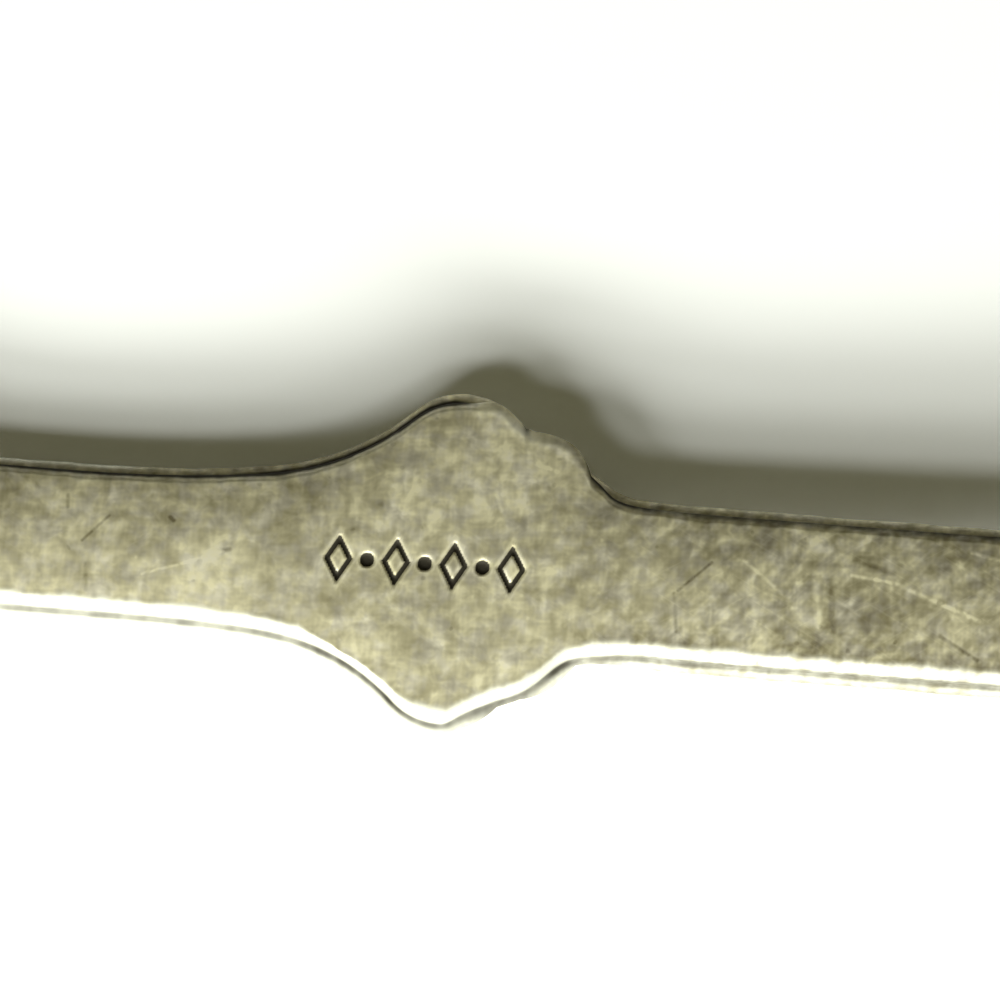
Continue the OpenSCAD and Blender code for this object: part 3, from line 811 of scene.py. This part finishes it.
def plate_material():
    """Worn silver plate: warm, satin and mottled, with streaks, scratches, pits, grime and painted
    shade.
    """
    g = Graph("worn_plate")
    place = g.node("ShaderNodeTexCoord", {}, 3)
    mm = g.vector("MULTIPLY", place, (1000, 1000, 1000))
    flat = g.vector("MULTIPLY", mm, (1, 1, 0))
    along = g.node("ShaderNodeSeparateXYZ", {0: mm}, 0)
    across = g.node("ShaderNodeSeparateXYZ", {0: mm}, 1)
    up = g.node("ShaderNodeSeparateXYZ", {0: g.node("ShaderNodeTexCoord", {}, 1)}, 2)
    on_back = g.ramp(up, 0.2, 0.6)
    # The grime layer carries painted shade along the edges and the bowl's rim as well as grime
    grime_and_shade, worn = g.attribute("grime_and_shade"), g.attribute("worn")
    recess, burr = g.attribute("recess"), g.attribute("burr")

    x = g.math("SUBTRACT", along, ORN_X)
    right_part, left_part = g.ramp(x, *RIGHT_PART), g.ramp(x, *LEFT_PART)
    orn_part = g.ramp(g.math("ABSOLUTE", x), *ORN_PART)
    right_low = g.math("MULTIPLY", right_part, g.ramp(across, *LOW_PART))

    # Mottling of several sizes, warped a little so that it looks grown rather than even
    warp = g.node("ShaderNodeTexNoise", {"Vector": mm, "Scale": WARP[0], "Detail": WARP[1]}, 1)
    warp_by = (WARP_SIZE, WARP_SIZE, WARP_SIZE)
    warped = g.node("ShaderNodeVectorMath", {0: warp, 1: warp_by, 2: mm}, operation="MULTIPLY_ADD")
    fine, middle, large = g.noise(warped, *FINE), g.noise(warped, *MIDDLE), g.noise(mm, *LARGE)
    cross, brush, slant = g.streaks(mm, *CROSS), g.streaks(mm, *BRUSH), g.streaks(mm, *SLANT)
    slanting = g.add_up(0.15, [(right_part, 0.45)])
    layers = [(fine, 0.6), (middle, 1.05), (large, 0.95), (cross, 0.45), (brush, 0.4), (slant, slanting)]
    contrast = g.add_up(0.92, [(right_part, 0.25), (orn_part, 0.35)])
    mottle = g.math("MULTIPLY", g.swing(layers), contrast)
    mottle = g.add_up(mottle, [(g.math("MULTIPLY", mottle, mottle), 0.5)])

    # Hairlines, specks, scratches and burrs show bare silver; dark scratches and pits hold grime
    hairs = g.ramp(g.streaks(mm, *HAIRS_A), 0.6, 0.74)
    hairs = g.math("MAXIMUM", hairs, g.ramp(g.streaks(mm, *HAIRS_B), 0.62, 0.76))
    hairs = g.math("MULTIPLY", hairs, g.add_up(0.045, [(right_part, 0.06)]))
    pits = g.node("ShaderNodeTexVoronoi", {"Vector": warped, "Scale": 1.05})
    pits = g.ramp(pits, 0.11, 0.05)
    moved = g.vector("ADD", mm, (5, 3, 0))
    specks = g.ramp(g.node("ShaderNodeTexVoronoi", {"Vector": moved, "Scale": 1.5}), 0.14, 0.03)
    patchy = g.math("MULTIPLY", g.ramp(fine, 0.36, 0.56, 0.5, 1.0), on_back)
    bright = g.math("MULTIPLY", lines(g, flat, BRIGHT_SCRATCHES), patchy)
    dark = g.math("MULTIPLY", lines(g, flat, DARK_SCRATCHES), patchy)
    light = g.math("MAXIMUM", g.math("MAXIMUM", bright, hairs), g.math("MULTIPLY", specks, 0.22))
    light = g.math("MAXIMUM", light, g.math("MULTIPLY", burr, 0.45))
    sunk = g.math("MAXIMUM", dark, g.math("MULTIPLY", pits, 0.28))

    # Tarnish, with painted shade: 0 is bare silver, 1 the darkest film
    cleaner = []
    for (from_orn, y), radius, share in CLEANER_PARTS:
        off = g.vector("DISTANCE", flat, (ORN_X + from_orn, y, 0), out=1)
        cleaner.append((g.ramp(off, radius * CLEANER_SOFT, 0.0), -share))
    parts = [(mottle, -0.85), (orn_part, -0.18), (right_part, 0.06), (right_low, 0.2)]
    # Painted shade: the left part darker towards its far side
    left_painted_shade = [(g.math("MULTIPLY", left_part, across), 0.06)]
    # On the far bevel by the stem, the wear layer's values below 0 are painted shade
    marks = [(light, -0.65), (sunk, 0.55), (worn, -0.3)]
    tarnish_and_shade = g.add_up(0.51, parts + cleaner + left_painted_shade + marks)
    tarnish_and_shade = g.math("MULTIPLY_ADD", g.math("MAXIMUM", worn, 0.0), -0.4, tarnish_and_shade, clamp=True)
    tint = g.noise(g.vector("ADD", mm, (31, 17, 5)), *TINT)
    film = g.blend(g.ramp(tint, 0.36, 0.64), *FILMS)
    silver = g.blend(g.ramp(tint, 0.4, 0.7), *SILVERS)
    silver = g.blend(g.math("MULTIPLY", worn, RUBBED_SOON, clamp=True), silver, RUBBED)
    # Dark where the edges and the rim have painted shade and grime, and where the punched grooves hold
    # grime
    dirt_and_shade = g.ramp(g.add_up(grime_and_shade, [(g.math("SUBTRACT", middle, 0.5), 0.13)]), 0.08, 0.75)
    dirt_and_shade = g.math("MAXIMUM", dirt_and_shade, g.ramp(recess, 0.15, 0.6))
    colour = g.blend(dirt_and_shade, g.blend(tarnish_and_shade, silver, film), GRIME_AND_SHADE_COLOUR)

    rough = g.add_up(0.5, [(tarnish_and_shade, 0.14), (worn, -0.1), (dirt_and_shade, 0.3)])
    metal = g.math("MULTIPLY_ADD", dirt_and_shade, -0.6, g.add_up(0.45, [(tarnish_and_shade, 0.3)]), clamp=True)
    height = g.add_up(fine, [(slant, 0.6), (dark, -1.0)])
    bump_inputs = {"Strength": BUMP_STRENGTH, "Distance": BUMP_HEIGHT, "Height": height}
    normal = g.node("ShaderNodeBump", bump_inputs)
    look = {"Base Color": colour, "Metallic": metal, "Roughness": rough, "Normal": normal}
    g.finish(g.node("ShaderNodeBsdfPrincipled", look))
    return g.material


FLOOR_COLOUR, FLOOR_SIZE = (0.92, 0.92, 0.95), 4
SEEN_WHITER = 0.4


def make_floor():
    """A white floor: seen straight or mirrored it is a little whiter, as the photograph's is."""
    bpy.ops.mesh.primitive_plane_add(size=FLOOR_SIZE, location=(0, 0, 0))
    floor = bpy.context.object
    floor.name = "floor"
    g = Graph("floor_white")
    camera_ray = g.node("ShaderNodeLightPath", {}, 0)
    glossy_ray = g.node("ShaderNodeLightPath", {}, 3)
    through_ray = g.node("ShaderNodeLightPath", {}, 6)
    seen = g.math("MAXIMUM", g.math("MAXIMUM", camera_ray, glossy_ray), through_ray)
    whiter = g.math("MULTIPLY_ADD", seen, SEEN_WHITER, 1.0)
    level = g.node("ShaderNodeCombineXYZ", {0: whiter, 1: whiter, 2: whiter})
    colour = g.vector("MULTIPLY", FLOOR_COLOUR, level)
    g.finish(g.node("ShaderNodeBsdfDiffuse", {"Color": colour}))
    floor.data.materials.append(g.material)


LAMP_FAR, LAMP_COLOUR = 0.9, (0.97, 1.0, 0.91)
LIT_SPOT = Vector((ORN_X * MM, 0, 0))
WORLD_COLOUR, WORLD_LEVEL = (1.0, 0.96, 0.53, 1), 0.079

# The room's windows: azimuth and elevation in degrees, width and height in metres, and share of
# the floor's plain level that the light gives
WINDOWS = {
    "high_window_left": (234, 36.3, 0.2, 0.12, 0.1),
    "high_window_right": (264, 43, 0.22, 0.12, 0.1),
    "middle_window": (258, 29.7, 1.1, 0.16, 0.32),
    "low_window": (264, 19.3, 1.15, 0.12, 0.45),
}


def window(name, azimuth, elevation, width, height, share):
    """A lamp that gives the floor this share of the plain level, from an azimuth and elevation."""
    a, e = math.radians(azimuth), math.radians(elevation)
    towards = Vector((math.cos(e) * math.cos(a), math.cos(e) * math.sin(a), math.sin(e)))
    data = bpy.data.lights.new(name, "AREA")
    data.shape = "RECTANGLE"
    data.size, data.size_y = width, height
    # A lamp of power P has the radiance P / (pi * area), and its light meets the floor at sin(e)
    data.energy = share * math.pi**2 * LAMP_FAR * LAMP_FAR / math.sin(e)
    data.color = LAMP_COLOUR
    lamp = bpy.data.objects.new(name, data)
    turn = towards.to_track_quat("Z", "Y").to_matrix().to_4x4()
    lamp.matrix_world = Matrix.Translation(LIT_SPOT + towards * LAMP_FAR) @ turn
    bpy.context.scene.collection.objects.link(lamp)


def make_lights():
    for name, values in WINDOWS.items():
        window(name, *values)
    world = bpy.data.worlds.new("world")
    bpy.context.scene.world = world
    world.use_nodes = True
    background = world.node_tree.nodes["Background"]
    background.inputs["Color"].default_value = WORLD_COLOUR
    background.inputs["Strength"].default_value = WORLD_LEVEL


make_camera()
bpy.context.scene.view_settings.view_transform = "Standard"
spoon = make_spoon()
spoon.data.materials.append(plate_material())
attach(spoon, "root")
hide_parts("spoon")
make_floor()
make_lights()
